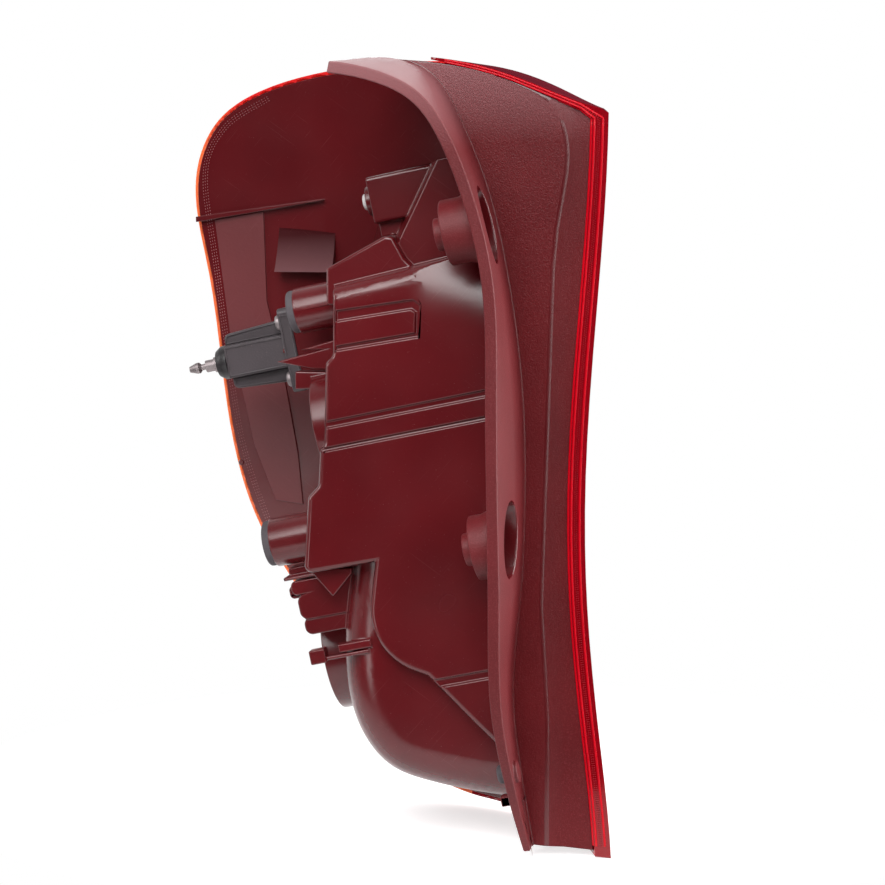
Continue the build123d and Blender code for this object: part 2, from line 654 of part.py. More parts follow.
def bracket_block(cavity):
    """Hollow block that the bracket is screwed to, with its locating peg."""
    block = raked_box(on_axis(BLOCK_START), BLOCK_LENGTH, BRACKET_PLATE_Y, BRACKET_PLATE_Z - BRACKET_CORNER)
    hollow = raked_box(on_axis(BLOCK_START + BLOCK_FACE), BLOCK_LENGTH,
                       BRACKET_PLATE_Y - 2 * BLOCK_WALL, BRACKET_PLATE_Z - BRACKET_CORNER - 2 * BLOCK_WALL)
    depth = BRACKET_SCREW_LENGTH - BRACKET_PLATE + FIT
    block = block - hollow - cavity
    for y, z in bracket_screw_places():
        block = block - along(on_axis(BLOCK_START, y, z), BRACKET_SCREW_R + FIT, depth)
    return block + along(on_axis(PLATE_START - PEG_R, PEG_Y), PEG_R, BRACKET_PLATE + 2 * PEG_R), hollow


def shroud_bar(place, length, width, height, edge):
    """Part of the connector shroud, round at its upper and lower ends."""
    bar = raked_box((place[0], SHROUD_Y, place[1]), length, width, height)
    return fillet(bar.edges().filter_by(Axis.Y), edge)


def clip_bar(place, length, width, height):
    return raked_box((place[0], CLIP_Y, place[1]), length, width, height)


def on_wing(points, rise):
    """Raised shape on the inner face of the wing panel."""
    band = skin_side(LENS_RIM + WALL / 2) - skin_side(LENS_RIM + WALL + rise)
    return prism(polygon(points), 0, REACH) & band


def wing_ramp():
    """Pad on the wing panel that rises towards its lower edge."""
    start, end = WING_RAMP_X
    loop = Polyline(*[Vector(start, y, z) for y, z in WING_RAMP], close=True)
    ramp = extrude(Face(Wire(loop.edges())), amount=end - start, dir=(1, 0, 0))
    return ramp & skin_side(LENS_RIM + WALL / 2)


def lamp_shell():
    """Wing panel, top wall, chamber, inboard wall and flange, and the chamber's cavity."""
    body = lamp_body()
    inside = skin_side(LENS_RIM)
    half = polygon([(-REACH, -REACH), (-REACH, REACH), (REACH, REACH), (REACH, -REACH)])
    shell = body & inside & prism(half, FLANK_Y, REACH)
    panel = shell - skin_side(LENS_RIM + WALL)
    over = polygon([(TOP_WALL_FRONT, 0), (TOP_WALL_FRONT, REACH), (REACH, REACH), (REACH, 0)])
    roof = (shell & prism(over, FLANK_Y, REACH)) - Pos(0, 0, -WALL) * body
    under_flange = shifted(FLANGE_FOOT, FLANGE_FOOT_WALL / 2)
    gutter = prism(Face(right_of(under_flange, 0)), FLANK_Y, FLANK_Y + WALL) & body & inside
    beside_crest = Face(right_of(shifted(CREST, WALL), 0))
    backing = prism(beside_crest, FLANK_Y, FLANK_Y + WALL + CREST_FALL) & body & inside
    crest_foot = shifted(CREST, -CREST_SLOPE)
    fall = Solid.make_loft([right_of(CREST, FLANK_Y), right_of(crest_foot, FLANK_Y + CREST_FALL)])
    chamber = (lower_chamber(0) + upper_chamber(0) + bulge(0)) & shell
    cavity = lower_chamber(WALL) + (upper_chamber(WALL) & Pos(0, 0, -WALL) * body) + bulge(WALL)
    return (panel + roof + chamber - cavity) + gutter + backing - fall + flange(), cavity


def box_boss():
    block = soften(raked_box(BOX_END, BOX_LENGTH, BOX_Y, BOX_Z), BOX_EDGE)
    back, down, tall = BOX_FOOT
    foot = raked_box(BOX_END + AXIS * back + Vector(0, back, down), BOX_LENGTH, BOX_Y - back, tall)
    return block + foot + along(BOX_END - AXIS * BOX_COLLAR, BOX_COLLAR_R, BOX_COLLAR + BOX_EDGE)


def wedge():
    block = prism(polygon(WEDGE), *WEDGE_Y)
    front = block.faces().sort_by(Axis.Y)[0]
    return fillet(front.edges().filter_by(lambda e: e.center().Z > WEDGE[0][1] + 1), WEDGE_EDGE)


def frame_groove():
    """Groove round the framed panel on the flank."""
    pocket = prism(polygon(FRAME_POCKET), FLANK_Y - FRAME_DEPTH, FLANK_Y + FRAME_DEPTH)
    return pocket - prism(polygon(FRAME_PANEL), FLANK_Y - FRAME_DEPTH, FLANK_Y + FRAME_DEPTH)


def foot_tab():
    (x, z), length, width, height = TAB
    tab = raked_box((x, TAB_Y, z), length, width, height)
    window = raked_box((x + FIT + TAB_WINDOW / 2, TAB_Y, z), TAB_WINDOW, 2 * width, TAB_WINDOW)
    return tab - window


def build_housing():
    housing, cavity = lamp_shell()
    added = [screw_boss(name) for name in SCREW_POINTS]
    added += [along(end, radius, length) - cavity for end, radius, length in POSTS.values()]
    added += [collar(name) for name in STATIONS]
    block, block_hollow = bracket_block(cavity)
    added += [box_boss() - cavity, wedge() - cavity, block, foot_tab()]
    added += [prism(polygon(points), *FIN_Y) - cavity for points in FINS]
    added += [shroud_bar(*bar) - cavity for bar in SHROUD]
    added += [clip_bar(*bar) - cavity for bar in CLIP]
    added += [prism(polygon(GUSSET), *GUSSET_Y) - cavity]
    added += [on_wing(WING_RIB, WING_RIB_RISE), on_wing(WING_PAD, WING_PAD_RISE), wing_ramp()]
    housing = housing + added
    cuts = [screw_well(name) for name in SCREW_POINTS]
    cuts += [collar_cuts(name) for name in STATIONS]
    cuts += [along(end, SPIGOT_R + FIT, SPIGOT + FIT) for end, _, _ in POSTS.values()]
    cuts += [along(BOX_END - AXIS * BOX_COLLAR, SPIGOT_R + FIT, SPIGOT + FIT), block_hollow, frame_groove()]
    cuts += [raked_box((x, FLANK_Y, z), length, 2 * depth, width) for (x, z), length, width, depth in GROOVES]
    return housing - cuts


def build_all():
    nodes = {"housing": build_housing()}
    nodes.update(build_lens())
    for name in STATIONS:
        nodes[f"{name}_bulb"] = build_bulb(name)
        nodes[f"{name}_bulb_holder"] = build_holder(name)
        nodes[f"{name}_holder_seal"] = build_seal(name)
        nodes[f"{name}_terminals"] = build_terminals(name)
        nodes[f"{name}_reflector"] = build_bowl(name)
    for name in POSTS:
        nodes[f"{name}_buffer"] = build_buffer(name)
    for name in SCREW_POINTS:
        nodes[f"{name}_screw_sleeve"] = build_sleeve(name)
    nodes["box_pad"] = build_white_pad()
    nodes["locating_stud"] = build_stud()
    nodes["stud_collar"] = build_collar_nut()
    nodes["stud_bracket"] = build_bracket()
    nodes["bracket_screws"] = build_bracket_screws()
    return nodes


def main():
    os.makedirs("parts", exist_ok=True)
    for name, piece in build_all().items():
        export_step(piece, f"parts/{name}.step")


if __name__ == "__main__":
    main()
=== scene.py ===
import math

import bmesh
import bpy
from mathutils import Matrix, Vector
from mathutils.bvhtree import BVHTree


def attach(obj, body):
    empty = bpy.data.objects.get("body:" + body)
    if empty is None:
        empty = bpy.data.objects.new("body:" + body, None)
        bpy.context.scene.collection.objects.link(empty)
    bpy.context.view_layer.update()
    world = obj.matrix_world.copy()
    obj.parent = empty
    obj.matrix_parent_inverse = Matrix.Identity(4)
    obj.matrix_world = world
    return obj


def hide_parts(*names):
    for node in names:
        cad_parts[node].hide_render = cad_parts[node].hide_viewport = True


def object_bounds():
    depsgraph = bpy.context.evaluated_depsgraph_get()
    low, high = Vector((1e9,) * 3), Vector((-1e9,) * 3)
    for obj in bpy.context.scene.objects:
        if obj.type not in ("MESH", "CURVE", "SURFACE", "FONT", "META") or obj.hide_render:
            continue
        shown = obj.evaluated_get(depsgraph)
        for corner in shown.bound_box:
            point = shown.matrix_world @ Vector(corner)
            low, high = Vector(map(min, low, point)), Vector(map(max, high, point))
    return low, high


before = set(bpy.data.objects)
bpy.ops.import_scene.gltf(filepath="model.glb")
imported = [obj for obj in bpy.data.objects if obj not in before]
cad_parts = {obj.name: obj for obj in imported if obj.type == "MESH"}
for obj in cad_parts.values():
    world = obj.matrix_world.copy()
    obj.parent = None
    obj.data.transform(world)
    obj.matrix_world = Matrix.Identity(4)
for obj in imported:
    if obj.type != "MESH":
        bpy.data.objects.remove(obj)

cad_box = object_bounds()
MM = 0.001

# Studio: camera, lamps, floor and backdrop
CAMERA_PLACE = (0.401, -1.544, 0.125)
CAMERA_TARGET = (0.142, -0.075, -0.032)
CAMERA_ANGLE = 17.29
FLOOR_RADIUS = 0.34
FLOOR_PLACE = (0.13, 0.1)
FLOOR_DROP = 0.0003
FLOOR_GLOW = 0.57
FLOOR_FADE = (0.4, 0.9)
ROOM_LIGHT = (0.07, 0.45)
ROOM_GLOSS = (0.03, 1.0)

# Softboxes: name, place, target, width and height in metres, power in watts
SOFTBOXES = [
    ("overhead", (0.0, -1.3, 0.98), (0.12, 0, 0), 1.2, 1.2, 31),
    ("low_front", (0.1, -0.75, -0.6), (0.12, 0, 0), 0.6, 0.35, 0.9),
    ("crest_strip", (0.78, -1.67, 0.05), (0.2, -0.07, 0), 0.12, 1.2, 2.2),
    ("right_front", (1.15, -1.55, 0.25), (0.18, -0.07, 0), 0.35, 0.9, 3.5),
    ("right_side", (1.63, 0.2, 0.2), (0.18, -0.07, 0), 1.0, 1.4, 40),
    ("behind", (0.2, 1.7, 0.9), (0.1, 0, 0), 1.6, 0.8, 9),
    ("left_fill", (-1.55, -0.6, 0.4), (0.1, 0, 0), 0.6, 0.8, 9),
    ("wing_card", (-0.115, -0.3, -0.17), (0.0, 0.067, -0.06), 0.09, 0.15, 0.13),
]

# Screen colours of the wear on moulded plastic, and of a painted highlight laid on by height
SCRATCH_TONE = (160, 100, 102)
DUST_TONE = (170, 130, 130)
# Painted highlight: pale pink laid over the plastic with height, in place of sheen from the lamps
PAINTED_SHEEN_TONE = (172, 126, 130)
SPECKLE_TONE = (146, 62, 68)

# Finishes of the housing and of the lens, in the order that their pieces carry them
SMOOTH, FLANGE, WALL, SATIN, RAMP = range(5)
BODY, TOP, RIM, INNER = range(4)

# Lamp sizes in millimetres, as on the solids
FLANK_Y = -75.0
FLANGE_FOOT = [
    (95, 164), (134, 158.5), (151, 133.5), (164, 101.8), (175, 57), (183.5, -5),
    (185, -60), (182.5, -113), (178.8, -163), (182, -197), (189.5, -246),
]
WING_EDGE = [
    (16, 151), (-11, 134), (-25, 105), (-19.8, 50), (-7, -45), (11, -99),
]
WING_END = 100.0
WING_DEPTH = 30.0
WING_RIB_Z = 78.0
FLANK_GAP = 15.0
FLANK_AREA = 2000.0
WALL_BAND = 4.0
WING_PAD_LEFT = [(-14, 77.6), (-6, 10), (7, -50), (20, -82)]
WING_PAD_RIGHT = [(14.5, 82.6), (15.5, 32), (24, -5), (33, -55), (36, -84)]
WING_PAD_FOOT = -84.0
WING_TEETH_INSETS = (4.6, 5.9, 7.2)
RAMP_SIDES = (23.0, 56.0)
RAMP_TOPS = (76.0, 68.7)
RAMP_FOOT = 49.0
RAMP_CURVE = 1.6
RAMP_LEAN = (0.4, 0.46)
SHOULDER_SIDES = (121.0, 135.0)
SCREW_WELLS = [(168.3, -100.0, 80.7), (180.1, -100.0, -79.4)]
WELL_HALF = Vector((24.0, 14.0, 22.0))
SLOPE_START = Vector((132.0, FLANK_Y, 50.4))
SLOPE_NORMAL = Vector((0.088, -0.932, 0.35)).normalized()
SLOPE_BEND = 17.0
BEND_STEPS = 12
CREST_BEND = 1.2
CREST_LEAN = (0.27, 0.4)
EDGE_ROUND = 0.8
BRACKET_ROUND = 0.6
COLLAR_ROUND = 0.4
BRACKET_FACE = 60.0
BRACKET_RIM = 1.1
STRIP_TOP = range(143, 214, 5)
STRIP_SIDE = range(134, -246, -5)
STRIP_SHIFT = 0.13

# Rounding on the thin wing, as a share of the rounding elsewhere
WING_ROUND = 0.25

# Mould marks: x, z, radius and rise, and the y that they are looked for from
MOULD_MARKS = [
    (95.9, -124.2, 2.4, 0.25, -140),
    (122.0, -163.8, 2.4, 0.25, -140),
    (-0.7, -61.1, 1.9, 1.2, 0),
]

# Angles in degrees: faces that count as one flat, and creases that stay sharp or are rounded
FLAT_ANGLE = 1.0
HOUSING_CREASE = 32
FITTING_CREASE = 40
LENS_CREASE = 28

# Places along the lens's edge, as shares of its width
BRIGHT_SHARES = (0.13, 0.66)
FLUTE_SHARES = (0.34, 0.45)


def srgb(red, green, blue):
    """Linear colour of a screen colour from 0 to 255."""
    def linear(value):
        share = value / 255
        return share / 12.92 if share <= 0.04045 else ((share + 0.055) / 1.055) ** 2.4
    return (linear(red), linear(green), linear(blue), 1.0)


def aim(thing, target):
    """Turn a camera or lamp towards a point."""
    way = Vector(target) - thing.location
    thing.rotation_euler = way.to_track_quat("-Z", "Y").to_euler()


def set_camera():
    """Camera at the place that the lamp is looked at from."""
    data = bpy.data.cameras.new("camera")
    camera = bpy.data.objects.new("camera", data)
    camera.location = CAMERA_PLACE
    aim(camera, CAMERA_TARGET)
    data.sensor_fit = "HORIZONTAL"
    data.angle = math.radians(CAMERA_ANGLE)
    bpy.context.collection.objects.link(camera)
    bpy.context.scene.camera = camera


def softbox(name, place, target, width, height, power):
    """Soft lamp that lights the piece and is not seen itself."""
    data = bpy.data.lights.new(name, "AREA")
    data.shape = "RECTANGLE"
    data.size, data.size_y = width, height
    data.energy = power
    lamp = bpy.data.objects.new(name, data)
    lamp.location = place
    lamp.visible_camera = False
    aim(lamp, target)
    bpy.context.collection.objects.link(lamp)


def node(tree, kind, settings=None, **inputs):
    """New node with its settings and its fixed inputs."""
    made = tree.nodes.new(kind)
    for key, value in (settings or {}).items():
        setattr(made, key, value)
    for key, value in inputs.items():
        made.inputs[key.replace("_", " ")].default_value = value
    return made


def either(tree, first, second):
    """The larger of two values."""
    larger = node(tree, "ShaderNodeMath", {"operation": "MAXIMUM"})
    tree.links.new(first, larger.inputs[0])
    tree.links.new(second, larger.inputs[1])
    return larger.outputs[0]


def set_world():
    """White backdrop for the eye, with a room for the gloss that is dark in front and pale behind."""
    world = bpy.data.worlds.new("studio")
    bpy.context.scene.world = world
    world.use_nodes = True
    tree = world.node_tree
    tree.nodes.clear()
    out = node(tree, "ShaderNodeOutputWorld")
    backdrop = node(tree, "ShaderNodeBackground", Color=(1, 1, 1, 1), Strength=1.0)
    room = node(tree, "ShaderNodeBackground", Color=(1, 1, 1, 1))
    way = node(tree, "ShaderNodeTexCoord")
    parts = node(tree, "ShaderNodeSeparateXYZ")
    dim = node(tree, "ShaderNodeMapRange", From_Min=-0.6, From_Max=0.9,
               To_Min=ROOM_LIGHT[0], To_Max=ROOM_LIGHT[1])
    bright = node(tree, "ShaderNodeMapRange", From_Min=-0.5, From_Max=0.6,
                  To_Min=ROOM_GLOSS[0], To_Max=ROOM_GLOSS[1])
    path = node(tree, "ShaderNodeLightPath")
    level = node(tree, "ShaderNodeMix")
    pick = node(tree, "ShaderNodeMixShader")
    seen = either(tree, path.outputs["Is Camera Ray"], path.outputs["Is Transmission Ray"])
    tree.links.new(way.outputs["Generated"], parts.inputs[0])
    tree.links.new(parts.outputs["Y"], dim.inputs["Value"])
    tree.links.new(parts.outputs["Y"], bright.inputs["Value"])
    tree.links.new(path.outputs["Is Glossy Ray"], level.inputs["Factor"])
    tree.links.new(dim.outputs["Result"], level.inputs["A"])
    tree.links.new(bright.outputs["Result"], level.inputs["B"])
    tree.links.new(level.outputs["Result"], room.inputs["Strength"])
    tree.links.new(seen, pick.inputs[0])
    tree.links.new(room.outputs[0], pick.inputs[1])
    tree.links.new(backdrop.outputs[0], pick.inputs[2])
    tree.links.new(pick.outputs[0], out.inputs["Surface"])


def set_floor():
    """Round sheet of pale paper that keeps the lamp's shadow and fades to white at its rim."""
    bpy.ops.mesh.primitive_circle_add(vertices=96, radius=FLOOR_RADIUS, fill_type="NGON",
                                      location=(*FLOOR_PLACE, cad_box[0][2] - FLOOR_DROP))
    floor = bpy.context.object
    floor.name = "floor"
    material = bpy.data.materials.new("floor_paper")
    material.use_nodes = True
    tree = material.node_tree
    tree.nodes.clear()
    out = node(tree, "ShaderNodeOutputMaterial")
    paper = node(tree, "ShaderNodeBsdfDiffuse", Color=(0.9, 0.9, 0.9, 1))
    glow = node(tree, "ShaderNodeEmission", Color=(1, 1, 1, 1))
    path = node(tree, "ShaderNodeLightPath")
    share = node(tree, "ShaderNodeMapRange", To_Max=FLOOR_GLOW)
    both = node(tree, "ShaderNodeAddShader")
    white = node(tree, "ShaderNodeEmission", Color=(1, 1, 1, 1), Strength=1.0)
    place = node(tree, "ShaderNodeTexCoord")
    away = node(tree, "ShaderNodeVectorMath", {"operation": "LENGTH"})
    fade = node(tree, "ShaderNodeMapRange", From_Min=FLOOR_FADE[0] * FLOOR_RADIUS,
                From_Max=FLOOR_FADE[1] * FLOOR_RADIUS)
    plain = node(tree, "ShaderNodeMath", {"operation": "MULTIPLY"})
    pick = node(tree, "ShaderNodeMixShader")
    through = either(tree, path.outputs["Is Glossy Ray"], path.outputs["Is Transmission Ray"])
    seen = either(tree, path.outputs["Is Camera Ray"], through)
    tree.links.new(seen, share.inputs["Value"])
    tree.links.new(share.outputs["Result"], glow.inputs["Strength"])
    tree.links.new(paper.outputs[0], both.inputs[0])
    tree.links.new(glow.outputs[0], both.inputs[1])
    tree.links.new(place.outputs["Object"], away.inputs[0])
    tree.links.new(away.outputs["Value"], fade.inputs["Value"])
    tree.links.new(fade.outputs["Result"], plain.inputs[0])
    tree.links.new(seen, plain.inputs[1])
    tree.links.new(plain.outputs[0], pick.inputs[0])
    tree.links.new(both.outputs[0], pick.inputs[1])
    tree.links.new(white.outputs[0], pick.inputs[2])
    tree.links.new(pick.outputs[0], out.inputs["Surface"])
    floor.data.materials.append(material)


def begin_finish(name):
    """New material, its shader and the place on the piece that its patterns follow."""
    material = bpy.data.materials.new(name)
    material.use_nodes = True
    tree = material.node_tree
    place = node(tree, "ShaderNodeTexCoord").outputs["Object"]
    return material, tree, tree.nodes["Principled BSDF"], place


def cloud(tree, place, scale, detail=2.0, stretch=None, turn=(0, 0, 0)):
    """Cloudy pattern, drawn out along one direction where a stretch is given."""
    if stretch:
        lay = node(tree, "ShaderNodeMapping", {"vector_type": "TEXTURE"}, Rotation=turn)
        lay.inputs["Scale"].default_value = [1 / share for share in stretch]
        tree.links.new(place, lay.inputs["Vector"])
        place = lay.outputs["Vector"]
    pattern = node(tree, "ShaderNodeTexNoise", Scale=scale, Detail=detail)
    tree.links.new(place, pattern.inputs["Vector"])
    return pattern.outputs["Fac"]


def between(tree, value, low, high, start, end):
    """Value mapped from one range to another and held inside it."""
    span = node(tree, "ShaderNodeMapRange", From_Min=low, From_Max=high, To_Min=start, To_Max=end)
    tree.links.new(value, span.inputs["Value"])
    return span.outputs["Result"]


def two_tone(tree, value, dark, light):
    """Colour that runs from dark to light with a value."""
    ramp = node(tree, "ShaderNodeValToRGB")
    ramp.color_ramp.elements[0].position, ramp.color_ramp.elements[1].position = 0.3, 0.7
    ramp.color_ramp.elements[0].color, ramp.color_ramp.elements[1].color = dark, light
    tree.links.new(value, ramp.inputs["Fac"])
    return ramp.outputs["Color"]


def over(tree, under, top, share):
    """Colour with another laid over it by a changing share."""
    mix = node(tree, "ShaderNodeMix", {"data_type": "RGBA"})
    tree.links.new(share, mix.inputs["Factor"])
    tree.links.new(under, mix.inputs["A"])
    mix.inputs["B"].default_value = top
    return mix.outputs["Result"]


def relief(tree, shader, height, strength, distance):
    """Fine unevenness of a surface."""
    bump = node(tree, "ShaderNodeBump", Strength=strength, Distance=distance)
    tree.links.new(height, bump.inputs["Height"])
    tree.links.new(bump.outputs["Normal"], shader.inputs["Normal"])


def moulded(name, dark, light, roughness, gloss, grain, grain_scale,
            scratches=0.0, dust=0.0, speckle=0.0, painted_sheen=None):
    """Moulded plastic with cloudy tone, grain, dust, scratches and a painted highlight that pales it with
    height.
    """
    material, tree, shader, place = begin_finish(name)
    tone = two_tone(tree, cloud(tree, place, 14, 4), dark, light)
    rough = between(tree, cloud(tree, place, 30, 1), 0.0, 1.0, roughness - 0.06, roughness + 0.06)
    if scratches:
        for turn, width in ((0.62, 260), (-0.85, 330)):
            hairs = cloud(tree, place, 9, 1, (3, 40, width), (0, turn, 0))
            tone = over(tree, tone, srgb(*SCRATCH_TONE), between(tree, hairs, 0.73, 0.77, 0.0, scratches))
    if dust:
        specks = cloud(tree, place, 1900, 0)
        tone = over(tree, tone, srgb(*DUST_TONE), between(tree, specks, 0.82, 0.92, 0.0, dust))
    # Painted highlight: a pale tone that grows with height between two levels, in place of sheen from the
    # lamps
    if painted_sheen:
        clear, pale, share = painted_sheen
        parts = node(tree, "ShaderNodeSeparateXYZ")
        tree.links.new(place, parts.inputs[0])
        painted_sheen_share = between(tree, parts.outputs["Z"], clear, pale, 0.0, share)
        tone = over(tree, tone, srgb(*PAINTED_SHEEN_TONE), painted_sheen_share)
    if speckle:
        grains = cloud(tree, place, 1700, 1)
        tone = over(tree, tone, srgb(*SPECKLE_TONE), between(tree, grains, 0.5, 0.9, 0.0, speckle))
    tree.links.new(tone, shader.inputs["Base Color"])
    tree.links.new(rough, shader.inputs["Roughness"])
    shader.inputs["Specular IOR Level"].default_value = gloss
    relief(tree, shader, cloud(tree, place, grain_scale, 2), grain, 0.0004)
    return material


def clear_plastic(name, dark, light, roughness, through):
    """Transparent coloured plastic with faint flow marks."""
    material, tree, shader, place = begin_finish(name)
    tree.links.new(two_tone(tree, cloud(tree, place, 18, 2), dark, light), shader.inputs["Base Color"])
    tree.links.new(between(tree, cloud(tree, place, 160, 2), 0.3, 0.7, roughness, roughness + 0.08),
                   shader.inputs["Roughness"])
    shader.inputs["Transmission Weight"].default_value = through
    shader.inputs["IOR"].default_value = 1.49
    relief(tree, shader, cloud(tree, place, 220, 1), 0.025, 0.0004)
    return material


def rim_plastic(name, high, low):
    """Thin edge of the lens in a painted glow of the light that it carries, redder over the top and orange
    down the side.
    """
    material, tree, shader, place = begin_finish(name)
    parts = node(tree, "ShaderNodeSeparateXYZ")
    tree.links.new(place, parts.inputs[0])
    mixed = node(tree, "ShaderNodeMix", {"data_type": "RGBA"})
    mixed.inputs["A"].default_value, mixed.inputs["B"].default_value = low, high
    tree.links.new(between(tree, parts.outputs["Z"], 0.115, 0.145, 0.0, 1.0), mixed.inputs["Factor"])
    tree.links.new(mixed.outputs["Result"], shader.inputs["Base Color"])
    tree.links.new(between(tree, cloud(tree, place, 90, 2), 0.0, 1.0, 0.25, 0.4), shader.inputs["Roughness"])
    shader.inputs["Subsurface Weight"].default_value = 0.3
    return material


def metal(name, dark, light, roughness):
    """Metal with fine turning marks."""
    material, tree, shader, place = begin_finish(name)
    tree.links.new(two_tone(tree, cloud(tree, place, 120, 3), dark, light), shader.inputs["Base Color"])
    marks = cloud(tree, place, 60, 2, (40, 4, 4))
    tree.links.new(between(tree, marks, 0.3, 0.7, roughness, roughness + 0.14), shader.inputs["Roughness"])
    shader.inputs["Metallic"].default_value = 1.0
    relief(tree, shader, marks, 0.06, 0.0002)
    return material


def dress(name, material):
    """Give a solid its finish."""
    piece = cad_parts[name]
    piece.data.materials.clear()
    piece.data.materials.append(material)
    for face in piece.data.polygons:
        face.material_index = 0


def new_piece(name, mesh):
    """Piece of the lamp made of a mesh."""
    piece = bpy.data.objects.new(name, mesh)
    bpy.context.collection.objects.link(piece)
    return piece


def plain_mesh(piece, name):
    """Piece made of another piece's finished mesh, which it takes the place of."""
    finished = piece.evaluated_get(bpy.context.evaluated_depsgraph_get())
    mesh = bpy.data.meshes.new_from_object(finished)
    bpy.data.objects.remove(piece)
    mesh.name = name
    return new_piece(name, mesh)


def joined_copy(name):
    """Solid's mesh as one closed skin."""
    skin = bmesh.new()
    skin.from_mesh(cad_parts[name].data)
    bmesh.ops.remove_doubles(skin, verts=skin.verts, dist=1e-6)
    return skin


def flat_faced_copy(name):
    """Solid's closed skin with each of its flats in one face."""
    skin = joined_copy(name)
    bmesh.ops.dissolve_limit(skin, angle_limit=math.radians(FLAT_ANGLE), verts=skin.verts, edges=skin.edges)
    return skin


def surface_of(piece):
    """Surface of a piece, for finding places on it."""
    skin = bmesh.new()
    skin.from_mesh(piece.data)
    surface = BVHTree.FromBMesh(skin)
    skin.free()
    return surface


def on_path(points, share):
    """Sideways place of a line of points at one height."""
    for (x, z), (next_x, next_z) in zip(points, points[1:]):
        if min(z, next_z) <= share <= max(z, next_z) and z != next_z:
            return x + (next_x - x) * (share - z) / (next_z - z)
    return points[-1][0]


def in_inboard_wall(face):
    """Whether a face lies in the plane of the inboard wall."""
    return face.normal.y < -0.9999 and abs(face.verts[0].co.y / MM - FLANK_Y) < 0.01


def slice_faces(skin, faces, places, across):
    """Cut faces along parallel planes and give back all their points."""
    edges = {edge for face in faces for edge in face.edges}
    verts = {vert for face in faces for vert in face.verts}
    geometry = [*faces, *edges, *verts]
    for place in places:
        cut = bmesh.ops.bisect_plane(skin, geom=geometry, dist=1e-7, plane_co=place, plane_no=across)
        geometry = cut["geom"]
    return {vert for part in geometry if isinstance(part, bmesh.types.BMFace) for vert in part.verts}


def lies_across(face, spots):
    """Whether a face has all its points among the given ones."""
    return all(vert in spots for vert in face.verts)


def fade_in(sides, share):
    """Place between two sides."""
    return sides[0] + (sides[1] - sides[0]) * share


def eased(value, start, end):
    """Soft step from 0 at the start to 1 at the end."""
    share = min(max((value - start) / (end - start), 0), 1)
    return share * share * (3 - 2 * share)


def bend_shoulder(skin):
    """Turn the crease where the inboard wall falls back to the roof into a broad bend."""
    across = Vector((SLOPE_NORMAL.x, 0, SLOPE_NORMAL.z)).normalized()
    fall = math.hypot(SLOPE_NORMAL.x, SLOPE_NORMAL.z) / -SLOPE_NORMAL.y
    start = SLOPE_START * MM
    reach = SLOPE_BEND * MM
    faces = []
    for face in skin.faces:
        middle = face.calc_center_median()
        clear_of_flange = middle.x / MM < on_path(FLANGE_FOOT, middle.z / MM) - FLANK_GAP
        broad = face.calc_area() > FLANK_AREA * MM * MM
        in_wall = in_inboard_wall(face) and clear_of_flange and broad
        if in_wall or all(abs((vert.co - start).dot(SLOPE_NORMAL)) < 1e-5 for vert in face.verts):
            faces.append(face)
    places = [start + across * reach * (2 * step / BEND_STEPS - 1) for step in range(BEND_STEPS + 1)]
    spots = slice_faces(skin, faces, places, across)
    faces = list({face for vert in spots for face in vert.link_faces if lies_across(face, spots)})
    places = [Vector((fade_in(SHOULDER_SIDES, step / BEND_STEPS), 0, 0)) * MM
              for step in range(BEND_STEPS + 1)]
    for vert in slice_faces(skin, faces, places, Vector((1, 0, 0))):
        run = (vert.co - start).dot(across)
        if -reach < run < reach:
            sharp = start.y + fall * max(run, 0)
            bent = start.y + fall * (run + reach) ** 2 / (4 * reach)
            vert.co.y = sharp + (bent - sharp) * eased(vert.co.x / MM, *SHOULDER_SIDES)


def hollow_ramp(skin):
    """Give the ramp on the wing a hollow face that runs out into the panel."""
    faces = []
    for face in skin.faces:
        x, y, z = face.calc_center_median() / MM
        on_wing = RAMP_SIDES[0] < x < RAMP_SIDES[1] and y > WING_DEPTH and RAMP_FOOT < z
        if on_wing and RAMP_LEAN[0] < face.normal.z < RAMP_LEAN[1]:
            faces.append(face)
    foot_y = min(vert.co.y for face in faces for vert in face.verts)
    steep = -faces[0].normal.z / faces[0].normal.y
    levels = [Vector((0, 0, fade_in((RAMP_FOOT, RAMP_TOPS[0]), step / BEND_STEPS))) * MM
              for step in range(1, BEND_STEPS)]
    for vert in slice_faces(skin, faces, levels, Vector((0, 0, 1))):
        share = (vert.co.x / MM - RAMP_SIDES[0]) / (RAMP_SIDES[1] - RAMP_SIDES[0])
        top = fade_in(RAMP_TOPS, share) * MM
        height = top - RAMP_FOOT * MM
        down = (top - vert.co.z) / height
        if down > 0:
            vert.co.y = foot_y + height * steep * (1 - down ** RAMP_CURVE)


def bend_crest(skin):
    """Round the crest where the wall behind the flange falls to the lens."""
    crest = []
    for edge in skin.edges:
        beside = [face for face in edge.link_faces
                  if CREST_LEAN[0] < face.normal.x < CREST_LEAN[1] and abs(face.normal.z) < 0.12]
        if len(beside) == 1 and any(in_inboard_wall(face) for face in edge.link_faces):
            crest.append(edge)
    bmesh.ops.bevel(skin, geom=crest, offset=CREST_BEND * MM, offset_type="OFFSET", segments=4, profile=0.5,
                    affect="EDGES", clamp_overlap=False)


